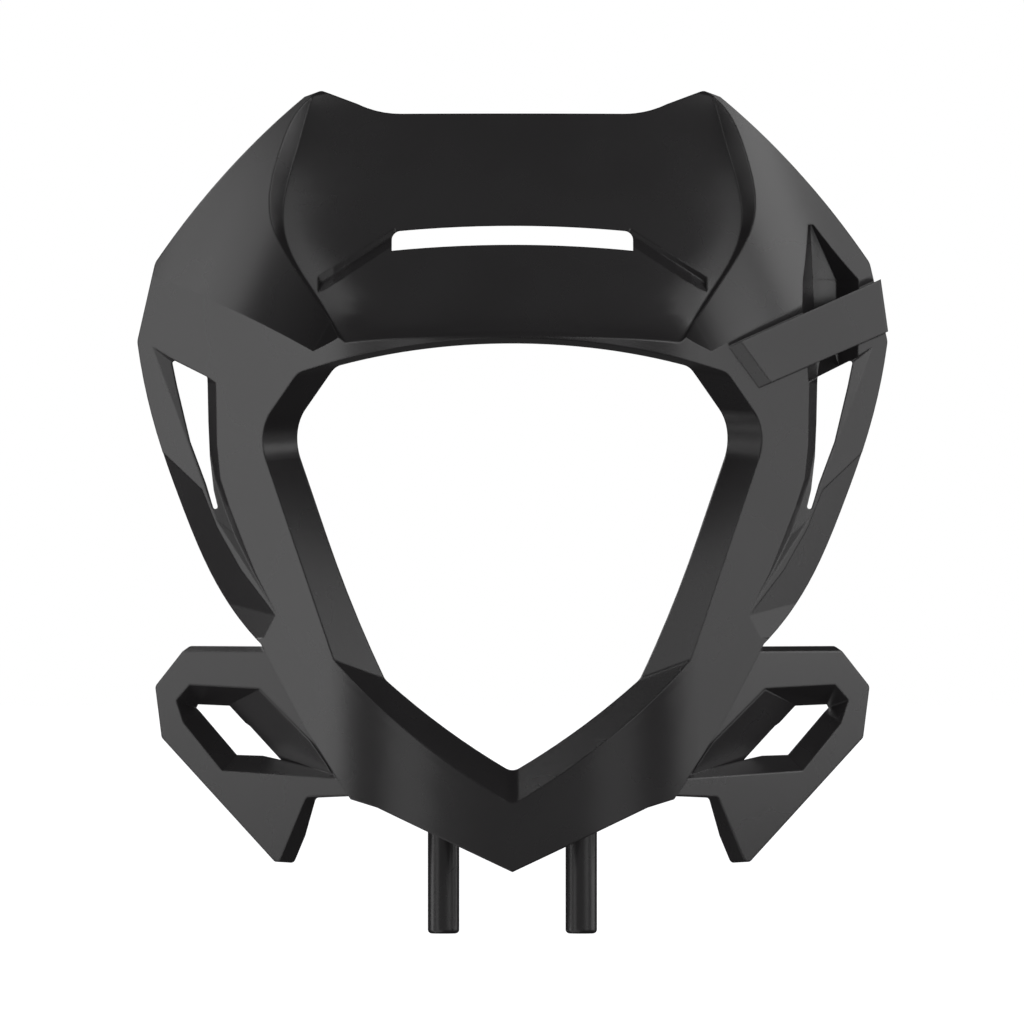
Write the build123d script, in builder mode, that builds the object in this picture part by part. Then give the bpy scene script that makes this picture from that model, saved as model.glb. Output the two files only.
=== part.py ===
from build123d import *
import math
import os

os.makedirs("parts", exist_ok=True)

# Sizes in mm. X runs across, the front faces -Y, +Z is up.
# x counts from the middle, y from the axes of the two pins, z from the level where the pins leave the chin.
# A pair is (x, z) in the front view unless the line says otherwise.

wall = 2.8
overall_width = 264.4

# Nose: round front, straight flanks, the whole leaning back towards the chin.
nose_radius = 92.0
nose_y = -55.0
nose_lean = 0.12
flank_angle = 45.0
flank_reach = 125.0
brow_z = 179.0
form_low = -40.0
form_top = 285.0
past = 300.0  # length of every cut that runs right out of the cowl
same = 0.01  # two places nearer than this are the same

# Front outline, right half, from the visor down to the chin.
visor_top = 257.8
visor_flat = 39.0
visor_lift = (54.3, 261.4)
ear_tip = (67.1, 266.3)
ear_shoulder = (73.0, 264.1)
wing_bulge = (109.7, 227.0)
elbow = (125.7, 206.0)
widest_z = 178.4
rim_points = ((126.6, 150.7), (115.9, 119.4), (104.3, 93.5))
rim_foot = (88.2, 72.1)
jaw_hidden = ((74.0, 45.0), (56.5, 18.0))
chin_corner = (47.2, 15.2)
chin_z = -7.1
elbow_round = 6.0
tip_round = 2.5

# Upper wings: pairs are (y, z) of the side profile at wing_ref_x. The profile moves back by wing_sweep
# and, further out, by wing_curl times the square of the way from wing_ref_x.
wing_sweep = 37.0
wing_curl = 0.0007
wing_ref_x = 75.0
wing_span = (30.0, 150.0)
wing_steps = 5
wing_foot = (-21.0, 168.0)
wing_bend = (-11.1, 198.0)
wing_waist = (-8.6, 215.0)
wing_crest = (21.0, 264.0)
wing_over = 40.0
brow_corner = (69.5, 174.3)
brow_end = (61.8, 178.2)
brow_peak = (63.4, 185.0)

# Visor plate, sunk between the wings: level, half width, depth of the middle, bow.
visor_rows = (
    (162.0, 49.0, -70.3, 18.0),
    (181.0, 60.6, -53.2, 24.8),
    (196.0, 69.8, -40.3, 26.8),
    (207.0, 76.6, -31.4, 26.6),
    (222.0, 80.4, -20.0, 23.4),
    (236.0, 78.2, -11.0, 18.6),
    (250.0, 74.2, -3.4, 16.0),
    (268.0, 68.6, 4.8, 13.6),
    (288.0, 62.0, 12.0, 12.0),
)
visor_slope = 42.0
step_reach = 9.0

# Slot across the visor, with a groove running out from each end.
slot_half = 42.1
slot_top_z = 218.1
slot_low_z = 211.4
slot_drop = 2.0
slot_round = 3.2
groove_start = (41.0, 217.5)
groove_end = (67.8, 200.5)
groove_steps = 6
groove_height = 6.0
groove_depth = 2.0
groove_valley = 0.4  # share of the height from the upper lip to the valley
groove_over = 1.3

# Side recess beside each pillar, with the strap window in its floor. The floor is flush along
# recess_fade, and falls from there to the lip and to the pillar edge.
recess_lip = ((132.0, 179.6), (119.9, 172.3), (107.1, 165.7), (104.0, 163.6))
recess_edge = ((103.7, 142.0), (102.5, 130.0), (99.3, 120.2), (94.2, 107.1), (90.0, 96.8), (82.7, 82.8))
recess_fade = ((126.8, 176.4), (104.0, 115.5), (82.7, 82.8))
recess_drop = 9.0
recess_low_drop = 3.2
recess_draft = 0.45
rim_facet = ((133.0, 148.5), (109.0, 126.1), (103.6, 112.7), (95.2, 98.0), (82.9, 82.0))
rim_facet_low = 74.0
rim_facet_drop = 6.0
rim_bend_drop = 1.0
rim_fade_drop = 10.0
window_outline = (
    (119.9, 172.1), (107.1, 165.7), (106.8, 150.0), (106.3, 138.0), (104.9, 126.0), (103.3, 119.4),
    (105.0, 119.4), (107.6, 128.1), (113.2, 143.0), (117.9, 162.5),
)
window_round = 0.8

# Lamp opening: flat bezel facets run in and back from the ridge to the lip.
bezel_depth = 19.0
ridge_top_z = 178.6
ridge_arch = 340.0
ridge_shoulder = (69.0, 175.3)
ridge_widest = (89.6, 146.2)
ridge_corner = (60.2, 60.9)
ridge_jaw = (45.0, 49.3)
ridge_chin = (10.0, 22.6)
brow_bezel = 5.0
upper_bezel = 38.0
lower_bezel = 57.0
chin_bezel = 28.0
brow_round = 8.0
cheek_round = 16.0
jaw_round = 3.0
chin_round = 5.0
lamp_mid_z = 110.0
lamp_clear = 8.0

# Fork guards: shallow trays that carry the chin outwards, each with a funnel-shaped window.
guard_depth = 9.0
guard_outer_y = 32.0
guard_root = (53.0, 17.3)
guard_outline = (
    (87.9, 71.3), (114.4, 71.3), (125.7, 57.0), (123.4, 39.0), (82.0, -5.4),
    (72.0, 18.6), (57.0, 19.2), (50.0, 18.0), (46.0, 30.0),
)
guard_mouth = ((113.4, 57.6), (88.3, 56.4), (56.5, 24.9), (101.9, 27.5), (115.5, 44.0), (118.2, 52.1))
guard_hole = ((110.6, 50.6), (99.4, 50.2), (82.9, 32.7), (96.8, 33.0), (109.8, 48.0), (111.2, 49.4))
guard_bevel = 2.0
guard_round = 2.0

# Locating pins on a ribbed shelf behind the chin.
pin_spacing = 48.2
pin_radius = 5.5
pin_tip_z = -29.2
pin_end_round = 1.4
shelf_z = 10.0
shelf_half = 32.0
shelf_back = 8.0
shelf_round = 6.0
rib = 3.0
rib_top = 34.0
rib_reach = -26.0

# Screw bosses behind the bezel for the lamp.
boss_spacing = 166.0
boss_z = 147.0
boss_end_y = 24.0
boss_radius = 5.2
boss_bore = 4.2
boss_bore_depth = 14.0

# Hose guide on the +X side: level, then mouth, floor, floor and mouth as (x, y). Each of the four moves out
# by its pair in scoop_grow, times the wall.
scoop_rows = (
    (219.0, (103.6, 13.5), (104.4, 16.0), (105.0, 16.5), (106.0, 14.5)),
    (200.0, (100.2, 2.5), (105.6, 27.4), (114.0, 34.5), (125.0, 22.5)),
    (156.0, (103.6, 8.0), (107.6, 35.5), (115.5, 43.5), (120.5, 31.0)),
)
scoop_grow = ((-1.2, 0.0), (-0.7, 1.0), (0.5, 1.2), (1.0, 1.2))
scoop_lip = ((140.0, 184.0), (130.7, 178.6), (119.5, 171.6), (105.0, 164.6), (90.0, 157.4))
bridge_outline = ((75.7, 175.9), (129.6, 200.2), (132.3, 181.9), (130.5, 181.0), (86.3, 161.8))
bridge_rise = 3.4
bridge_round = 2.6
ramp_inner = (84.0, 172.0)


def nose_depth(x, z):
    turn = math.radians(flank_angle)
    tangent_x = nose_radius * math.sin(turn)
    if abs(x) < tangent_x:
        y = nose_radius - math.sqrt(nose_radius**2 - x**2)
    else:
        y = nose_radius * (1 - math.cos(turn)) + (abs(x) - tangent_x) * math.tan(turn)
    return nose_y + y + nose_lean * (brow_z - z)


def on_nose(point):
    return Vector(point[0], nose_depth(*point), point[1])


def wing_shift(x):
    way = x - wing_ref_x
    return way * math.tan(math.radians(wing_sweep)) + wing_curl * way**2


# Depth of the straight lower part of a wing.
def wing_depth(x, z):
    rise = (wing_bend[0] - wing_foot[0]) / (wing_bend[1] - wing_foot[1])
    return wing_foot[0] + rise * (z - wing_foot[1]) + wing_shift(x)


def visor_depth(x, z):
    for low, high in zip(visor_rows, visor_rows[1:]):
        if low[0] <= z <= high[0]:
            part = (z - low[0]) / (high[0] - low[0])
            half, middle, bow = [a + (b - a) * part for a, b in zip(low[1:], high[1:])]
            radius = (half**2 + bow**2) / (2 * bow)
            return middle + radius - math.sqrt(radius**2 - x**2)


def plane_through(first, second, third):
    normal = (second - first).cross(third - first)
    if normal.Y > 0:
        normal = -normal
    return Plane(origin=first, x_dir=second - first, z_dir=normal)


def on_plane(plane, points):
    n = plane.z_dir
    found = []
    for x, z in points:
        y = plane.origin.Y - (n.X * (x - plane.origin.X) + n.Z * (z - plane.origin.Z)) / n.Y
        local = plane.to_local_coords(Vector(x, y, z))
        found.append((local.X, local.Y))
    return found


# Everything behind the skin of the nose; inset moves the skin in, back moves it to the rear.
# Another radius leaves the flanks where they are.
def nose_form(inset, back, full_radius=nose_radius):
    radius = full_radius - inset
    turn = math.radians(flank_angle)
    front_y = nose_y + (full_radius - nose_radius) * (1 / math.cos(turn) - 1)
    centre_y = front_y + back + full_radius + nose_lean * (brow_z - form_low)
    near = (radius * math.sin(turn), centre_y - radius * math.cos(turn))
    far = (near[0] + flank_reach * math.cos(turn), near[1] + flank_reach * math.sin(turn))
    with BuildPart() as form:
        with BuildSketch(Plane.XY.offset(form_low)):
            with BuildLine():
                ThreePointArc((-near[0], near[1]), (0, centre_y - radius), near)
                Polyline(near, far, (-far[0], far[1]), (-near[0], near[1]))
            make_face()
        extrude(amount=(form_top - form_low) * math.hypot(1, nose_lean), dir=(0, -nose_lean, 1))
    return form.part


# Space in front of both upper wings.
def wing_tool(inset):
    peak = Vector(brow_peak[0], wing_depth(*brow_peak), brow_peak[1])
    facet = plane_through(on_nose(brow_corner), on_nose(brow_end), peak)
    with BuildPart() as tool:
        for step in range(wing_steps):
            x = wing_span[0] + (wing_span[1] - wing_span[0]) * step / (wing_steps - 1)
            shift = wing_shift(x) + inset / math.cos(math.radians(wing_sweep))
            foot, bend, waist, crest = [
                (y + shift, z) for y, z in (wing_foot, wing_bend, wing_waist, wing_crest)
            ]
            with BuildSketch(Plane.YZ.offset(x)):
                with BuildLine():
                    lower = Line(foot, bend)
                    middle = TangentArc(bend, waist, tangent=lower % 1)
                    upper = TangentArc(waist, crest, tangent=middle % 1)
                    tip = upper @ 1 + (upper % 1) * wing_over
                    Polyline(upper @ 1, tip, (-past, tip.Y), (-past, foot[1]), foot)
                make_face()
        loft()
        split(bisect_by=facet.offset(-inset), keep=Keep.TOP)
        mirror(about=Plane.YZ)
    return tool.part


# Space in front of the visor plate, with sloping sides up to the wings.
def visor_tool(inset):
    with BuildPart() as tool:
        for level, half, depth, bow in visor_rows:
            middle = depth + inset / math.cos(math.radians(visor_slope))
            edge = (half + inset / 2, middle + bow)
            rim = (edge[0] + step_reach, edge[1] - step_reach)
            with BuildSketch(Plane.XY.offset(level)):
                with BuildLine():
                    ThreePointArc((-edge[0], edge[1]), (0, middle), edge)
                    Polyline(
                        edge, rim, (rim[0], -past), (-rim[0], -past), (-rim[0], rim[1]), (-edge[0], edge[1])
                    )
                make_face()
        loft()
    return tool.part


# Space in front of the two recess floors, bounded by the lip and the drafted pillar edge.
def recess_tool(inset):
    start_y = nose_y - wall
    lip = []
    for x, z in recess_lip:
        lip.append((x + recess_draft * (start_y - nose_depth(x, z)) - inset, z + inset))
    edge = []
    for x, z in recess_edge:
        edge.append((x + recess_draft * (start_y - nose_depth(x, z)) - inset, z))
    deep = on_nose(recess_lip[-1]) + Vector(0, recess_drop, 0)
    low_deep = on_nose(recess_edge[3]) + Vector(0, recess_low_drop, 0)
    high, bend, low = [on_nose(point) for point in recess_fade]
    floor = plane_through(deep, high, bend)
    low_floor = plane_through(low_deep, bend, low)
    with BuildPart() as tool:
        with BuildSketch(Plane.XZ.offset(-start_y)):
            with BuildLine():
                Polyline(*lip, *edge, (lip[0][0], edge[-1][1]), close=True)
            make_face()
        extrude(amount=past, dir=(recess_draft, 1, 0))
        split(bisect_by=floor.offset(-inset), keep=Keep.TOP)
        split(bisect_by=low_floor.offset(-inset), keep=Keep.TOP)
        mirror(about=Plane.YZ)
    return tool.part


# Space outside the sloping facet along the lower edge of each rim.
def rim_tool(inset):
    top, bend, *bow, foot = rim_facet
    edge = on_nose(rim_points[1]) + Vector(0, rim_facet_drop, 0)
    facet = plane_through(on_nose(bend) + Vector(0, rim_bend_drop, 0), on_nose(foot), edge)
    late = on_nose(rim_points[2]) + Vector(0, rim_fade_drop, 0)
    fade = plane_through(on_nose(foot), on_nose(rim_foot), late)
    with BuildPart() as tool:
        with BuildSketch(Plane.XZ):
            with BuildLine():
                Polyline(top, bend, *bow, foot, (foot[0], rim_facet_low), (top[0], rim_facet_low), close=True)
            make_face()
            offset(amount=inset / 2, kind=Kind.INTERSECTION)
        extrude(amount=past, both=True)
        split(bisect_by=facet.offset(-inset), keep=Keep.TOP)
        split(bisect_by=fade.offset(-inset), keep=Keep.TOP)
        mirror(about=Plane.YZ)
    return tool.part


# Body bounded by the outer faces, each moved in by the inset.
def cowl_form(inset):
    nose = nose_form(inset, 0)
    wings = wing_tool(inset)
    visor = visor_tool(inset)
    recess = recess_tool(inset)
    rims = rim_tool(inset)
    with BuildPart() as form:
        add(nose)
        add(wings, mode=Mode.SUBTRACT)
        add(visor, mode=Mode.SUBTRACT)
        add(recess, mode=Mode.SUBTRACT)
        add(rims, mode=Mode.SUBTRACT)
    return form.part


# Plane of one bezel facet: it holds two ridge points and runs in towards the lamp by an angle.
def bezel_plane(first, second, angle, grow):
    start = on_nose(first)
    end = on_nose(second)
    across = Vector(start.Z - end.Z, 0, end.X - start.X).normalized()
    if across.dot(Vector(0, 0, lamp_mid_z) - start) < 0:
        across = -across
    inward = across * math.tan(math.radians(angle)) + Vector(0, 1, 0)
    out = (end - start).cross(inward).normalized()
    if out.dot(Vector(0, start.Y, lamp_mid_z) - start) > 0:
        out = -out
    return Plane(origin=start + out * grow, x_dir=end - start, z_dir=out)


# Edges whose ends and middle lie on every plane given.
def edges_on(builder, *planes):
    found = []
    for edge in builder.edges():
        points = (edge @ 0, edge @ 0.5, edge @ 1)
        if max(abs(plane.to_local_coords(point).Z) for point in points for plane in planes) < same:
            found.append(edge)
    return found


# Edge of a plane that reaches the rear at the highest level.
def highest_edge(builder, plane):
    return max(edges_on(builder, plane), key=lambda edge: max(edge @ 0, edge @ 1, key=lambda end: end.Y).Z)


# Space inside the bezel facets, grown outwards by a thickness.
def lamp_void(grow):
    uppers = []
    lowers = []
    chins = []
    for side in (1, -1):
        shoulder, widest, corner, jaw, chin = [
            (side * x, z) for x, z in (ridge_shoulder, ridge_widest, ridge_corner, ridge_jaw, ridge_chin)
        ]
        uppers.append(bezel_plane(shoulder, widest, upper_bezel, grow))
        lowers.append(bezel_plane(widest, corner, lower_bezel, grow))
        chins.append(bezel_plane(jaw, chin, chin_bezel, grow))
    trim_x = (ridge_corner[0] + ridge_widest[0] - bezel_depth) / 2
    trim_radius = trim_x / math.sin(math.radians(flank_angle))
    ahead = nose_form(0, -lamp_clear, trim_radius)
    behind = nose_form(0, bezel_depth + wall + lamp_clear / 2, trim_radius)
    front_y = nose_y - 2 * lamp_clear
    top_z = ridge_top_z + grow - (front_y - nose_y) * math.tan(math.radians(brow_bezel))
    reach = overall_width / 2
    sag = ridge_arch - math.sqrt(ridge_arch**2 - reach**2)
    with BuildPart() as void:
        with BuildSketch(Plane.XZ.offset(-front_y)):
            with BuildLine():
                ThreePointArc((-reach, top_z - sag), (0, top_z), (reach, top_z - sag))
                Polyline((reach, top_z - sag), (reach, form_low), (-reach, form_low), (-reach, top_z - sag))
            make_face()
        extrude(amount=past, dir=(0, 1, -math.tan(math.radians(brow_bezel))))
        for plane in uppers + lowers + chins:
            split(bisect_by=plane, keep=Keep.BOTTOM)
        add(ahead, mode=Mode.INTERSECT)
        add(behind, mode=Mode.SUBTRACT)
        fillet([edges_on(void, *pair)[0] for pair in zip(uppers, lowers)], cheek_round + grow)
        fillet([highest_edge(void, plane) for plane in uppers], brow_round + grow)
        fillet([edges_on(void, *pair)[0] for pair in zip(lowers, chins)], jaw_round + grow)
        fillet(edges_on(void, *chins), chin_round + grow)
    return void.part


# Scoop for the hose above the recess lip, grown outwards by a thickness.
def scoop_form(grow):
    with BuildPart() as form:
        for level, *corners in scoop_rows:
            points = [(x + grow * dx, y + grow * dy) for (x, y), (dx, dy) in zip(corners, scoop_grow)]
            with BuildSketch(Plane.XY.offset(level)):
                with BuildLine():
                    Polyline(*points, close=True)
                make_face()
        loft(ruled=True)
        with BuildSketch(Plane.XZ):
            with BuildLine():
                Polyline(*scoop_lip, (scoop_lip[-1][0], form_low), (scoop_lip[0][0], form_low), close=True)
            make_face()
        extrude(amount=past, both=True, mode=Mode.SUBTRACT)
    return form.part


# Corners of a sketch at a distance from the middle, on both sides, at one level if it is given.
def corners_at(sketch, x, z=None):
    found = [corner for corner in sketch.vertices() if abs(abs(corner.X) - x) < same]
    if z is not None:
        found = [corner for corner in found if abs(corner.Z - z) < same]
    return found


outer_form = cowl_form(0)
inner_form = cowl_form(wall)
lamp_outer = lamp_void(wall)
lamp_inner = lamp_void(0)
bezel_back = nose_form(0, bezel_depth)
nose_skin = nose_form(0, 0)
nose_inside = nose_form(wall, 0)
nose_proud = nose_form(-bridge_rise, 0)
scoop_void = scoop_form(0)
scoop_body = scoop_form(wall)

with BuildPart() as bezel:
    add(lamp_outer)
    add(outer_form, mode=Mode.INTERSECT)
    add(bezel_back, mode=Mode.SUBTRACT)

guard_outer = Vector(guard_outline[2][0], guard_outer_y, guard_outline[2][1])
guard_plane = plane_through(on_nose(guard_outline[0]), on_nose(guard_root), guard_outer)
guard_skin = guard_plane.offset(-wall)
guard_down = guard_plane.z_dir * guard_plane.z_dir.Z - Vector(0, 0, 1)
guard_bevel_plane = Plane(
    origin=on_nose(guard_outline[0]) + guard_down * guard_bevel, z_dir=guard_plane.z_dir + Vector(0, 0, 1)
)
guard_back = guard_plane.offset(-guard_depth)

with BuildPart() as guard:
    with BuildSketch(guard_plane):
        with BuildLine():
            FilletPolyline(*on_plane(guard_plane, guard_outline), radius=guard_round, close=True)
        make_face()
    extrude(amount=-guard_depth)
    split(bisect_by=guard_bevel_plane, keep=Keep.BOTTOM)
    with BuildSketch(guard_skin):
        with BuildLine():
            FilletPolyline(*on_plane(guard_plane, guard_outline), radius=guard_round, close=True)
        make_face()
        offset(amount=-wall, kind=Kind.INTERSECTION)
    extrude(amount=-guard_depth, mode=Mode.SUBTRACT)
    with BuildSketch(guard_plane):
        with BuildLine():
            Polyline(*on_plane(guard_plane, guard_mouth), close=True)
        make_face()
        offset(amount=wall, kind=Kind.INTERSECTION)
    with BuildSketch(guard_back):
        with BuildLine():
            Polyline(*on_plane(guard_back, guard_hole), close=True)
        make_face()
        offset(amount=wall, kind=Kind.INTERSECTION)
    loft(ruled=True)
    with BuildSketch(guard_plane):
        with BuildLine():
            Polyline(*on_plane(guard_plane, guard_mouth), close=True)
        make_face()
    with BuildSketch(guard_back):
        with BuildLine():
            Polyline(*on_plane(guard_back, guard_hole), close=True)
        make_face()
    loft(ruled=True, mode=Mode.SUBTRACT)
    add(inner_form, mode=Mode.SUBTRACT)
    mirror(about=Plane.YZ)

with BuildPart() as pins:
    with BuildSketch(Plane.XY.offset(shelf_z)):
        with BuildLine():
            FilletPolyline(
                (-shelf_half, nose_y),
                (-shelf_half, shelf_back),
                (shelf_half, shelf_back),
                (shelf_half, nose_y),
                radius=shelf_round,
                close=True,
            )
        make_face()
    extrude(amount=rib)
    for side in (-1, 1):
        with BuildSketch(Plane.YZ.offset(side * pin_spacing / 2)):
            with BuildLine():
                Polyline(
                    (nose_y, shelf_z),
                    (0, shelf_z),
                    (0, shelf_z + rib),
                    (rib_reach, rib_top),
                    (nose_y, rib_top),
                    close=True,
                )
            make_face()
        extrude(amount=rib / 2, both=True)
    add(outer_form, mode=Mode.INTERSECT)
    for side in (-1, 1):
        with BuildSketch(Plane(origin=(side * pin_spacing / 2, 0, pin_tip_z))):
            Circle(pin_radius)
        extrude(amount=shelf_z + rib - pin_tip_z)
    fillet(pins.edges().group_by(Axis.Z)[0], pin_end_round)

with BuildPart() as bosses:
    for side in (-1, 1):
        with BuildSketch(Plane.XZ.offset(-boss_end_y)):
            with Locations((side * boss_spacing / 2, boss_z)):
                Circle(boss_radius)
        extrude(amount=boss_end_y - nose_y)
        with BuildSketch(Plane.XZ.offset(-boss_end_y)):
            with Locations((side * boss_spacing / 2, boss_z)):
                Circle(boss_bore / 2)
        extrude(amount=boss_bore_depth, mode=Mode.SUBTRACT)
    add(outer_form, mode=Mode.INTERSECT)

with BuildPart() as liner:
    add(scoop_body)
    add(outer_form, mode=Mode.INTERSECT)

ramp_top = on_nose(ramp_inner) - Vector(0, bridge_rise * math.sqrt(2), 0)
ramp = plane_through(on_nose(bridge_outline[0]), on_nose(bridge_outline[-1]), ramp_top)
with BuildPart() as bridge:
    with BuildSketch(Plane.XZ):
        with BuildLine():
            Polyline(*bridge_outline, close=True)
        make_face()
    extrude(amount=past, both=True)
    add(nose_proud, mode=Mode.INTERSECT)
    add(nose_inside, mode=Mode.SUBTRACT)
    split(bisect_by=ramp, keep=Keep.BOTTOM)
    ends = [edge for edge in bridge.edges() if min((edge @ 0).X, (edge @ 1).X) > bridge_outline[1][0] - same]
    fillet(min(ends, key=lambda edge: (edge @ 0.5).Y), bridge_round)

with BuildPart() as channel:
    add(scoop_void)
    add(nose_skin, mode=Mode.INTERSECT)

with BuildPart() as groove:
    for step in range(groove_steps):
        part = step / (groove_steps - 1)
        x = groove_start[0] + (groove_end[0] - groove_start[0]) * part
        z = groove_start[1] + (groove_end[1] - groove_start[1]) * part
        upper = Vector(visor_depth(x, z), z)
        lower = Vector(visor_depth(x, z - groove_height), z - groove_height)
        valley = upper + (lower - upper) * groove_valley + Vector(groove_depth, 0)
        mouth_top = valley + (upper - valley) * groove_over
        mouth_low = valley + (lower - valley) * groove_over
        with BuildSketch(Plane.YZ.offset(x)):
            with BuildLine():
                Polyline(valley, mouth_top, mouth_low, close=True)
            make_face()
    loft(ruled=True)
    mirror(about=Plane.YZ)

widest = (overall_width / 2, widest_z)
with BuildPart() as cowl:
    add(outer_form)
    add(inner_form, mode=Mode.SUBTRACT)
    add(bezel.part)
    with BuildSketch(Plane.XZ) as front:
        with BuildLine():
            crown = Line((0, visor_top), (visor_flat, visor_top))
            TangentArc(crown @ 1, visor_lift, tangent=crown % 1)
            Polyline(visor_lift, ear_tip, ear_shoulder)
            ThreePointArc(ear_shoulder, wing_bulge, elbow)
            Line(elbow, widest)
            Spline(widest, *rim_points, rim_foot)
            Polyline(rim_foot, *jaw_hidden, chin_corner, (0, chin_z))
            mirror(about=Plane.YZ)
        make_face()
        fillet(corners_at(front, elbow[0]) + corners_at(front, widest[0]), elbow_round)
        fillet(corners_at(front, ear_tip[0]) + corners_at(front, 0, chin_z), tip_round)
    extrude(amount=past, both=True, mode=Mode.INTERSECT)
    add(guard.part)
    add(pins.part)
    add(bosses.part)
    add(liner.part)
    add(bridge.part)
    add(channel.part, mode=Mode.SUBTRACT)
    add(lamp_inner, mode=Mode.SUBTRACT)
    add(groove.part, mode=Mode.SUBTRACT)
    with BuildSketch(Plane.XZ) as windows:
        with BuildLine():
            FilletPolyline(*window_outline, radius=window_round, close=True)
        make_face()
        mirror(about=Plane.YZ)
    extrude(amount=-past, mode=Mode.SUBTRACT)
    with BuildSketch(Plane.XZ) as slot:
        with BuildLine():
            ends_top = slot_top_z - slot_drop
            ends_low = slot_low_z - slot_drop
            ThreePointArc((-slot_half, ends_top), (0, slot_top_z), (slot_half, ends_top))
            Line((slot_half, ends_top), (slot_half, ends_low))
            ThreePointArc((slot_half, ends_low), (0, slot_low_z), (-slot_half, ends_low))
            Line((-slot_half, ends_low), (-slot_half, ends_top))
        make_face()
        fillet(slot.vertices().group_by(Axis.Y)[-1], slot_round)
    extrude(amount=past, both=True, mode=Mode.SUBTRACT)

cowl.part.label = "headlight_cowl"
export_step(cowl.part, "parts/headlight_cowl.step")
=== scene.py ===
import math
import bpy
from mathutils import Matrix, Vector


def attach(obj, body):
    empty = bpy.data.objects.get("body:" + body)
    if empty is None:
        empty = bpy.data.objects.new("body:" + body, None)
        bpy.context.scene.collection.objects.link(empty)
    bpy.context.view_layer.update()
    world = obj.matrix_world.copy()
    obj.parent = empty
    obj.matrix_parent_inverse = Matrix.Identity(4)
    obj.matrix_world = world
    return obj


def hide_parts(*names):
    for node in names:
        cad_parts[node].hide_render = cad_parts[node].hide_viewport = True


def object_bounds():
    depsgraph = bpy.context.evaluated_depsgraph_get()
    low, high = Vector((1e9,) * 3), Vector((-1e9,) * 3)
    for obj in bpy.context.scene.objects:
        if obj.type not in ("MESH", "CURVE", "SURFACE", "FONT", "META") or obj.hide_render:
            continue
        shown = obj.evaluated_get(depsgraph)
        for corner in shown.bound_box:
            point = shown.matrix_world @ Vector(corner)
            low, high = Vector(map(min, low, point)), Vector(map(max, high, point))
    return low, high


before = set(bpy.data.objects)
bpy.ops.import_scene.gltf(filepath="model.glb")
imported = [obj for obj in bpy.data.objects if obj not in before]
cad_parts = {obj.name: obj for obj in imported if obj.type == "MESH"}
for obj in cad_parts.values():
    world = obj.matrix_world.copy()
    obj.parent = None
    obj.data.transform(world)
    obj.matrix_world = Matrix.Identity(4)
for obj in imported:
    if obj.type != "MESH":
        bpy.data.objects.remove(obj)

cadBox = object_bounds()
print("frame loaded")


def deselectAll():
    if bpy.context.object and bpy.context.object.mode != "OBJECT":
        bpy.ops.object.mode_set(mode="OBJECT")
    bpy.ops.object.select_all(action="DESELECT")


def makeActive(piece):
    deselectAll()
    piece.select_set(True)
    bpy.context.view_layer.objects.active = piece


# satin black moulding, fine spark-eroded grain
cowlPlastic = {
    "dark": (0.0105, 0.0096, 0.0102, 1),
    "light": (0.0140, 0.0132, 0.0140, 1),
    "darkUpTo": 0.35,
    "lightFrom": 0.7,
    "cloudSize": 26.0,        # slow colour drift, per metre
    "cloudDetail": 4,
    "grainSize": 2600.0,      # moulded grain, per metre
    "grainDetail": 2,
    "grainDepth": 0.00003,
    "grainStrength": 0.25,
    "roughLow": 0.26,
    "roughHigh": 0.285,
    "index": 1.5,
    "specular": 0.5,
    "edgeRadius": 0.0009,     # mould radius that the light catches on every edge
    "edgeSamples": 6,
    "veil": 0.004,            # stray light that lifts the blacks
    "veilColour": (1, 0.94, 0.97, 1),
}

# the upper wings bow round from the visor to the outer edge
wingBow = {
    "turn": 35.0,             # degrees from the front at the middle line
    "turnPerMetre": 600.0,
    "middle": 0.186,          # x of the middle line where z is nought
    "lean": 0.41,             # how fast that line comes in as z goes up
    "rise": 6.0,              # degrees upwards at the given height
    "risePerMetre": 90.0,
    "height": 0.200,
    # inner edge of the wings as z and x, from the brow up to the ear tip
    "innerEdge": (
        (0.174, 0.055), (0.200, 0.0725), (0.2065, 0.0772), (0.215, 0.0826), (0.2243, 0.0850),
        (0.233, 0.0845), (0.242, 0.0815), (0.254, 0.0768), (0.266, 0.0700),
    ),
}

# the visor plate between the wings is a little flatter across
visorPlate = {
    "flatten": 0.4,           # share of its sideways turn that is taken out
    # side edge of the plate as z and x, inside the step
    "sideEdge": (
        (0.174, 0.0563), (0.181, 0.0606), (0.196, 0.0698), (0.207, 0.0766), (0.222, 0.0804),
        (0.236, 0.0782), (0.250, 0.0742), (0.268, 0.0686),
    ),
}

# faces of wings and visor look this far forwards, and no further down than this
frontFaces = {"normalY": -0.4, "normalZ": -0.05}

# the hose scoop is hollowed round
scoopHollow = {
    "turn": 26.0,             # degrees from the front at the inner side
    "turnPerMetre": -1600.0,
    "inner": 0.105,
    "rise": 4.0,
    # where its floor lies and how it faces
    "x": (0.1035, 0.117),
    "z": (0.176, 0.219),
    "behind": 0.016,
    "normalX": (0.5, 0.8),
    "normalZ": -0.1,
}

# the bridge over the scoop runs out flat at its inner end
bridgeEnd = {
    "normal": (0.70, -0.70, -0.09),
    "share": 0.88,
    # where the end lies and how it faces
    "x": (0.076, 0.092),
    "z": (0.158, 0.182),
    "normalX": 0.3,
    "normalY": -0.05,
    "normalZ": -0.7,
}


def feed(tree, socket, value):
    if isinstance(value, (int, float)):
        socket.default_value = value
    else:
        tree.links.new(value, socket)


def calc(tree, operation, *values):
    node = tree.nodes.new("ShaderNodeMath")
    node.operation = operation
    for socket, value in zip(node.inputs, values):
        feed(tree, socket, value)
    return node.outputs["Value"]


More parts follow.
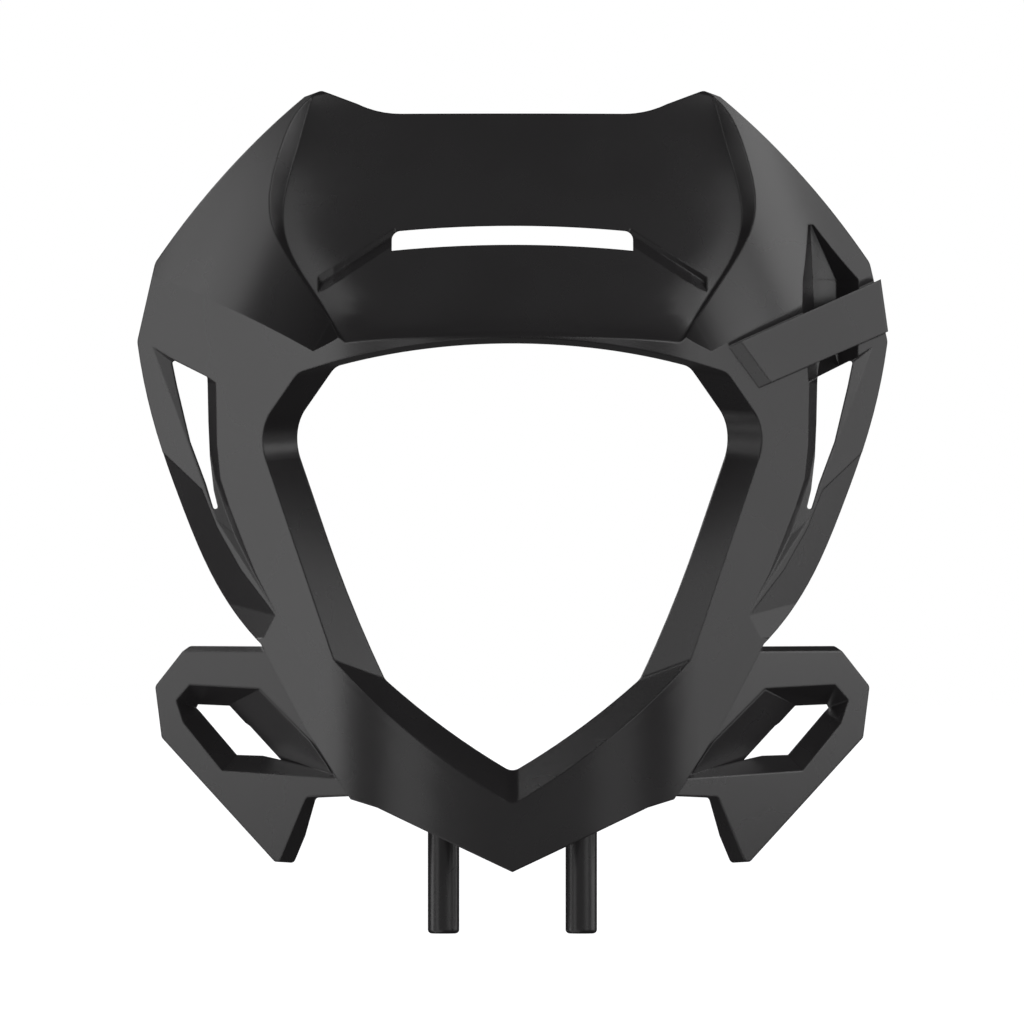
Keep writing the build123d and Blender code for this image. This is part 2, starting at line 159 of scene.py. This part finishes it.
def calcVector(tree, operation, first, second=None):
    node = tree.nodes.new("ShaderNodeVectorMath")
    node.operation = operation
    tree.links.new(first, node.inputs[0])
    if second is not None:
        tree.links.new(second, node.inputs["Scale" if operation == "SCALE" else 1])
    return node.outputs["Vector"]


def joinVector(tree, *values):
    node = tree.nodes.new("ShaderNodeCombineXYZ")
    for socket, value in zip(node.inputs, values):
        feed(tree, socket, value)
    return node.outputs["Vector"]


def splitVector(tree, vector):
    node = tree.nodes.new("ShaderNodeSeparateXYZ")
    tree.links.new(vector, node.inputs["Vector"])
    return node.outputs


def markOf(tree, name):
    node = tree.nodes.new("ShaderNodeAttribute")
    node.attribute_name = name
    return node.outputs["Fac"]


# an angle that grows evenly with a length, from degrees
def evenTurn(tree, length, start, perMetre, atStart):
    growth = calc(tree, "MULTIPLY", calc(tree, "SUBTRACT", length, start), math.radians(perMetre))
    return calc(tree, "ADD", growth, math.radians(atStart))


def wingNormal(tree, place):
    bow = wingBow
    leaning = calc(tree, "MULTIPLY", place["Z"], bow["lean"])
    across = calc(tree, "ADD", calc(tree, "ABSOLUTE", place["X"]), leaning)
    turn = evenTurn(tree, across, bow["middle"], bow["turnPerMetre"], bow["turn"])
    rise = evenTurn(tree, place["Z"], bow["height"], bow["risePerMetre"], bow["rise"])
    level = calc(tree, "COSINE", rise)
    outwards = calc(tree, "MULTIPLY", calc(tree, "SINE", turn), level)
    forwards = calc(tree, "MULTIPLY", calc(tree, "COSINE", turn), level)
    sideways = calc(tree, "MULTIPLY", outwards, calc(tree, "SIGN", place["X"]))
    depth = calc(tree, "MULTIPLY", forwards, -1.0)
    return joinVector(tree, sideways, depth, calc(tree, "SINE", rise))


def scoopNormal(tree, place):
    hollow = scoopHollow
    turn = evenTurn(tree, place["X"], hollow["inner"], hollow["turnPerMetre"], hollow["turn"])
    depth = calc(tree, "MULTIPLY", calc(tree, "COSINE", turn), -1.0)
    upwards = math.sin(math.radians(hollow["rise"]))
    return joinVector(tree, calc(tree, "SINE", turn), depth, upwards)


# the rounded edges, with the marked faces turned towards their own normals
def shapedNormal(tree, objectPlace, roundedEdge):
    place = splitVector(tree, objectPlace)
    surface = tree.nodes.new("ShaderNodeNewGeometry").outputs["Normal"]
    aims = {
        "wing": wingNormal(tree, place),
        "scoop": scoopNormal(tree, place),
        "bridgeEnd": joinVector(tree, *bridgeEnd["normal"]),
    }
    shifts = {name: calcVector(tree, "SUBTRACT", aim, surface) for name, aim in aims.items()}
    sideways = splitVector(tree, surface)["X"]
    shifts["visor"] = joinVector(tree, calc(tree, "MULTIPLY", sideways, -visorPlate["flatten"]))
    normal = roundedEdge
    for name, shift in shifts.items():
        marked = calcVector(tree, "SCALE", shift, markOf(tree, name))
        normal = calcVector(tree, "ADD", normal, marked)
    return calcVector(tree, "NORMALIZE", normal)


def makeCowlPlastic():
    look = cowlPlastic
    material = bpy.data.materials.new("cowlPlastic")
    material.use_nodes = True
    tree = material.node_tree
    nodes, links = tree.nodes, tree.links
    shader = nodes["Principled BSDF"]
    shader.inputs["IOR"].default_value = look["index"]
    shader.inputs["Specular IOR Level"].default_value = look["specular"]
    shader.inputs["Emission Color"].default_value = look["veilColour"]
    shader.inputs["Emission Strength"].default_value = look["veil"]
    place = nodes.new("ShaderNodeTexCoord").outputs["Object"]
    cloud = nodes.new("ShaderNodeTexNoise")
    cloud.inputs["Scale"].default_value = look["cloudSize"]
    cloud.inputs["Detail"].default_value = look["cloudDetail"]
    colour = nodes.new("ShaderNodeValToRGB")
    colour.color_ramp.interpolation = "EASE"
    dark, light = colour.color_ramp.elements
    dark.position, dark.color = look["darkUpTo"], look["dark"]
    light.position, light.color = look["lightFrom"], look["light"]
    rough = nodes.new("ShaderNodeMapRange")
    rough.inputs["To Min"].default_value = look["roughLow"]
    rough.inputs["To Max"].default_value = look["roughHigh"]
    grain = nodes.new("ShaderNodeTexNoise")
    grain.inputs["Scale"].default_value = look["grainSize"]
    grain.inputs["Detail"].default_value = look["grainDetail"]
    bump = nodes.new("ShaderNodeBump")
    bump.inputs["Strength"].default_value = look["grainStrength"]
    bump.inputs["Distance"].default_value = look["grainDepth"]
    edge = nodes.new("ShaderNodeBevel")
    edge.samples = look["edgeSamples"]
    edge.inputs["Radius"].default_value = look["edgeRadius"]
    links.new(place, cloud.inputs["Vector"])
    links.new(place, grain.inputs["Vector"])
    links.new(cloud.outputs["Fac"], colour.inputs["Fac"])
    links.new(colour.outputs["Color"], shader.inputs["Base Color"])
    links.new(cloud.outputs["Fac"], rough.inputs["Value"])
    links.new(rough.outputs["Result"], shader.inputs["Roughness"])
    links.new(shapedNormal(tree, place, edge.outputs["Normal"]), bump.inputs["Normal"])
    links.new(grain.outputs["Fac"], bump.inputs["Height"])
    links.new(bump.outputs["Normal"], shader.inputs["Normal"])
    return material


# x of an edge line at a height, None above and below the line
def edgeAt(corners, height):
    for (lowZ, lowX), (highZ, highX) in zip(corners, corners[1:]):
        if lowZ <= height <= highZ:
            return lowX + (highX - lowX) * (height - lowZ) / (highZ - lowZ)
    return None


def between(value, limits):
    return limits[0] < value < limits[1]


def isScoopFloor(face):
    floor = scoopHollow
    inPlace = between(face.center.x, floor["x"]) and between(face.center.z, floor["z"])
    if not inPlace or face.center.y <= floor["behind"]:
        return False
    if not between(face.normal.x, floor["normalX"]):
        return False
    return face.normal.y < 0 and face.normal.z < floor["normalZ"]


def isBridgeEnd(face):
    end = bridgeEnd
    inPlace = between(face.center.x, end["x"]) and between(face.center.z, end["z"])
    if not inPlace or face.normal.x >= end["normalX"]:
        return False
    return face.normal.y < end["normalY"] and face.normal.z > end["normalZ"]


# which of the upper faces one is: the wing, the visor plate or neither
def upperPart(face):
    inner = edgeAt(wingBow["innerEdge"], face.center.z)
    if inner is None or face.normal.y > frontFaces["normalY"]:
        return None
    if face.normal.z < frontFaces["normalZ"]:
        return None
    side = 1 if face.center.x > 0 else -1
    if face.center.x * side < edgeAt(visorPlate["sideEdge"], face.center.z):
        return "visor"
    if face.center.x * side > inner and face.normal.x * side > 0:
        return "wing"
    return None


# marks the faces whose normals the plastic turns
def markFaces(shell):
    names = ("wing", "visor", "scoop", "bridgeEnd")
    for name in names:
        shell.data.attributes.new(name, "FLOAT", "FACE")
    marks = {name: shell.data.attributes[name].data for name in names}
    for face in shell.data.polygons:
        if isScoopFloor(face):
            marks["scoop"][face.index].value = 1.0
        if isBridgeEnd(face):
            marks["bridgeEnd"][face.index].value = bridgeEnd["share"]
        part = upperPart(face)
        if part:
            marks[part][face.index].value = 1.0
    for name in names:
        print(name, sum(1 for mark in marks[name] if mark.value > 0), "faces")


# the moulding, from a merged copy of the solid
cowlShell = {"mergeGap": 0.000002}


def makeCowlShell():
    makeActive(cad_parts["headlight_cowl"])
    bpy.ops.object.duplicate()
    shell = bpy.context.object
    shell.name = "cowlShell"
    shell.data.name = "cowlShell"
    for key in list(shell.keys()):
        del shell[key]
    makeActive(shell)
    bpy.ops.object.mode_set(mode="EDIT")
    bpy.ops.mesh.select_all(action="SELECT")
    bpy.ops.mesh.remove_doubles(threshold=cowlShell["mergeGap"], use_sharp_edge_from_normals=True)
    bpy.ops.object.mode_set(mode="OBJECT")
    markFaces(shell)
    shell.data.materials.clear()
    shell.data.materials.append(makeCowlPlastic())
    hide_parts("headlight_cowl")
    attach(shell, "root")
    print("cowl shell", len(shell.data.polygons), "faces")
    return shell


cowl = makeCowlShell()

# inner wall of each guard tray, carried on to the corner of the hole
guardWall = {
    # x and z of the left wall: top of the hole, top of the ridge, down it, foot of the hole
    "corners": (
        (-0.0994, 0.0509), (-0.0885, 0.0563), (-0.07025, 0.0380),
        (-0.06475, 0.0300), (-0.0628, 0.0266), (-0.0812, 0.0314),
    ),
    "point": (-0.084, 0.010485, 0.040),    # a point on the wall's face
    "slopes": (-1.2751, -0.5437),          # change of depth along x and z
    "thick": 0.0018,
}


def makeGuardWall(name, side):
    wall = guardWall
    atX, atY, atZ = wall["point"]
    slopeX, slopeZ = wall["slopes"]
    deselectAll()
    bpy.ops.mesh.primitive_circle_add(vertices=len(wall["corners"]), fill_type="NGON")
    piece = bpy.context.object
    piece.name = name
    piece.data.name = name
    for vertex, (x, z) in zip(piece.data.vertices, wall["corners"]):
        vertex.co = (x * side, atY + slopeX * (x - atX) + slopeZ * (z - atZ), z)
    bpy.ops.object.mode_set(mode="EDIT")
    bpy.ops.mesh.select_all(action="SELECT")
    bpy.ops.mesh.extrude_region_move(TRANSFORM_OT_translate={"value": (0, wall["thick"], 0)})
    bpy.ops.mesh.select_all(action="SELECT")
    bpy.ops.mesh.normals_make_consistent(inside=False)
    bpy.ops.object.mode_set(mode="OBJECT")
    piece.data.materials.append(cowl.data.materials[0])
    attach(piece, "root")


makeGuardWall("guardWallLeft", 1)
makeGuardWall("guardWallRight", -1)
print("guard walls")

# pale floor under the pin tips, kept out of the plastic's reflections
studioFloor = {
    "reach": 14.0,
    "drop": 0.0005,
    "colour": (0.86, 0.86, 0.87, 1),
    "mottle": 3.0,
    "mottleTone": 0.985,
    "rough": 0.6,
    "glow": 1.20,        # seen by the camera as lit paper
    "shade": 0.10,       # share left to take soft shadows
}


def makeFloorPaint():
    look = studioFloor
    material = bpy.data.materials.new("studioFloorPaint")
    material.use_nodes = True
    nodes, links = material.node_tree.nodes, material.node_tree.links
    shader = nodes["Principled BSDF"]
    shader.inputs["Roughness"].default_value = look["rough"]
    shader.inputs["Specular IOR Level"].default_value = 0
    place = nodes.new("ShaderNodeTexCoord")
    mottle = nodes.new("ShaderNodeTexNoise")
    mottle.inputs["Scale"].default_value = look["mottle"]
    tone = nodes.new("ShaderNodeValToRGB")
    mottled = [part * look["mottleTone"] for part in look["colour"][:3]]
    tone.color_ramp.elements[0].color = mottled + [1]
    tone.color_ramp.elements[1].color = look["colour"]
    glow = nodes.new("ShaderNodeEmission")
    glow.inputs["Strength"].default_value = look["glow"] / look["colour"][0]
    mix = nodes.new("ShaderNodeMixShader")
    mix.inputs["Fac"].default_value = look["shade"]
    links.new(place.outputs["Object"], mottle.inputs["Vector"])
    links.new(mottle.outputs["Fac"], tone.inputs["Fac"])
    links.new(tone.outputs["Color"], shader.inputs["Base Color"])
    links.new(tone.outputs["Color"], glow.inputs["Color"])
    links.new(glow.outputs["Emission"], mix.inputs[1])
    links.new(shader.outputs["BSDF"], mix.inputs[2])
    links.new(mix.outputs["Shader"], nodes["Material Output"].inputs["Surface"])
    return material


def makeFloor():
    lowCorner = cadBox[0]
    deselectAll()
    height = lowCorner.z - studioFloor["drop"]
    bpy.ops.mesh.primitive_plane_add(size=studioFloor["reach"], location=(0, 0, height))
    floor = bpy.context.object
    floor.name = "studioFloor"
    bpy.ops.object.transform_apply(location=True)
    floor.visible_glossy = False
    floor.visible_diffuse = False
    floor.visible_shadow = False
    floor.data.materials.append(makeFloorPaint())


makeFloor()
print("floor")

# soft boxes all round the cowl, each with degrees from the front, degrees up,
# the angles it fills across and upwards, and its level
lightRing = {"distance": 1.2, "centre": (0, 0, 0.12)}
softBoxes = {
    "rightSide": (97, 2, 38, 40, 1.25),
    "rightMid": (69, 13, 22, 26, 2.90),
    "rightFront": (38, 8, 28, 20, 2.45),
    "rightFrontLow": (47, -16, 22, 24, 0.70),
    "rightFrontHigh": (56, 34, 38, 24, 1.10),
    "rightHigh": (91, 34, 26, 24, 2.90),
    "leftSide": (-91, -2, 24, 48, 1.80),
    "leftMid": (-69, 10, 22, 26, 2.10),
    "leftFrontLow": (-47, -14, 22, 24, 1.15),
    "leftFrontHigh": (-50, 34, 26, 24, 1.40),
    "leftBackHigh": (-115, 34, 28, 24, 4.40),
    "frontLow": (0, -14, 60, 24, 0.30),
    "leftUnder": (-60, -48, 70, 40, 0.80),
    "top": (0, 66, 60, 36, 0.20),
}


def makeLights():
    centre, distance = Vector(lightRing["centre"]), lightRing["distance"]
    for name, (turn, lift, width, height, level) in softBoxes.items():
        turn, lift = math.radians(turn), math.radians(lift)
        reach = math.cos(lift)
        way = Vector((math.sin(turn) * reach, -math.cos(turn) * reach, math.sin(lift)))
        lamp = bpy.data.lights.new(name, "AREA")
        lamp.shape = "RECTANGLE"
        lamp.size = 2 * distance * math.tan(math.radians(width / 2))
        lamp.size_y = 2 * distance * math.tan(math.radians(height / 2))
        lamp.energy = math.pi * lamp.size * lamp.size_y * level
        box = bpy.data.objects.new(name, lamp)
        bpy.context.scene.collection.objects.link(box)
        box.location = centre + way * distance
        box.rotation_euler = (-way).to_track_quat("-Z", "Y").to_euler()
        box.visible_camera = False


makeLights()

# the room: bright paper behind, a dim dome for the reflections
studioRoom = {"paper": (1, 1, 1, 1), "paperLevel": 1.0, "dome": (1, 1, 1, 1), "domeLevel": 0.033}


def makeRoom():
    world = bpy.data.worlds.new("studioRoom")
    bpy.context.scene.world = world
    world.use_nodes = True
    nodes, links = world.node_tree.nodes, world.node_tree.links
    nodes.clear()
    paper = nodes.new("ShaderNodeBackground")
    paper.inputs["Color"].default_value = studioRoom["paper"]
    paper.inputs["Strength"].default_value = studioRoom["paperLevel"]
    dome = nodes.new("ShaderNodeBackground")
    dome.inputs["Color"].default_value = studioRoom["dome"]
    dome.inputs["Strength"].default_value = studioRoom["domeLevel"]
    path = nodes.new("ShaderNodeLightPath")
    mix = nodes.new("ShaderNodeMixShader")
    out = nodes.new("ShaderNodeOutputWorld")
    links.new(path.outputs["Is Camera Ray"], mix.inputs["Fac"])
    links.new(dome.outputs["Background"], mix.inputs[1])
    links.new(paper.outputs["Background"], mix.inputs[2])
    links.new(mix.outputs["Shader"], out.inputs["Surface"])


makeRoom()
print("light")

# camera square on to the front, far off with a long lens
photoView = {
    "lens": 600.0,
    "sensor": 36.0,
    "frameWidth": 0.3584,
    "aim": (-0.00014, 0.0, 0.1183),
    "seesTo": 40.0,
}


def makeCamera():
    data = bpy.data.cameras.new("photoView")
    data.lens = photoView["lens"]
    data.sensor_width = photoView["sensor"]
    data.clip_end = photoView["seesTo"]
    camera = bpy.data.objects.new("photoView", data)
    bpy.context.scene.collection.objects.link(camera)
    distance = photoView["lens"] / photoView["sensor"] * photoView["frameWidth"]
    camera.location = Vector(photoView["aim"]) - Vector((0, distance, 0))
    camera.rotation_euler = (math.radians(90), 0, 0)
    bpy.context.scene.camera = camera


makeCamera()
bpy.context.scene.view_settings.view_transform = "Standard"
print("camera")
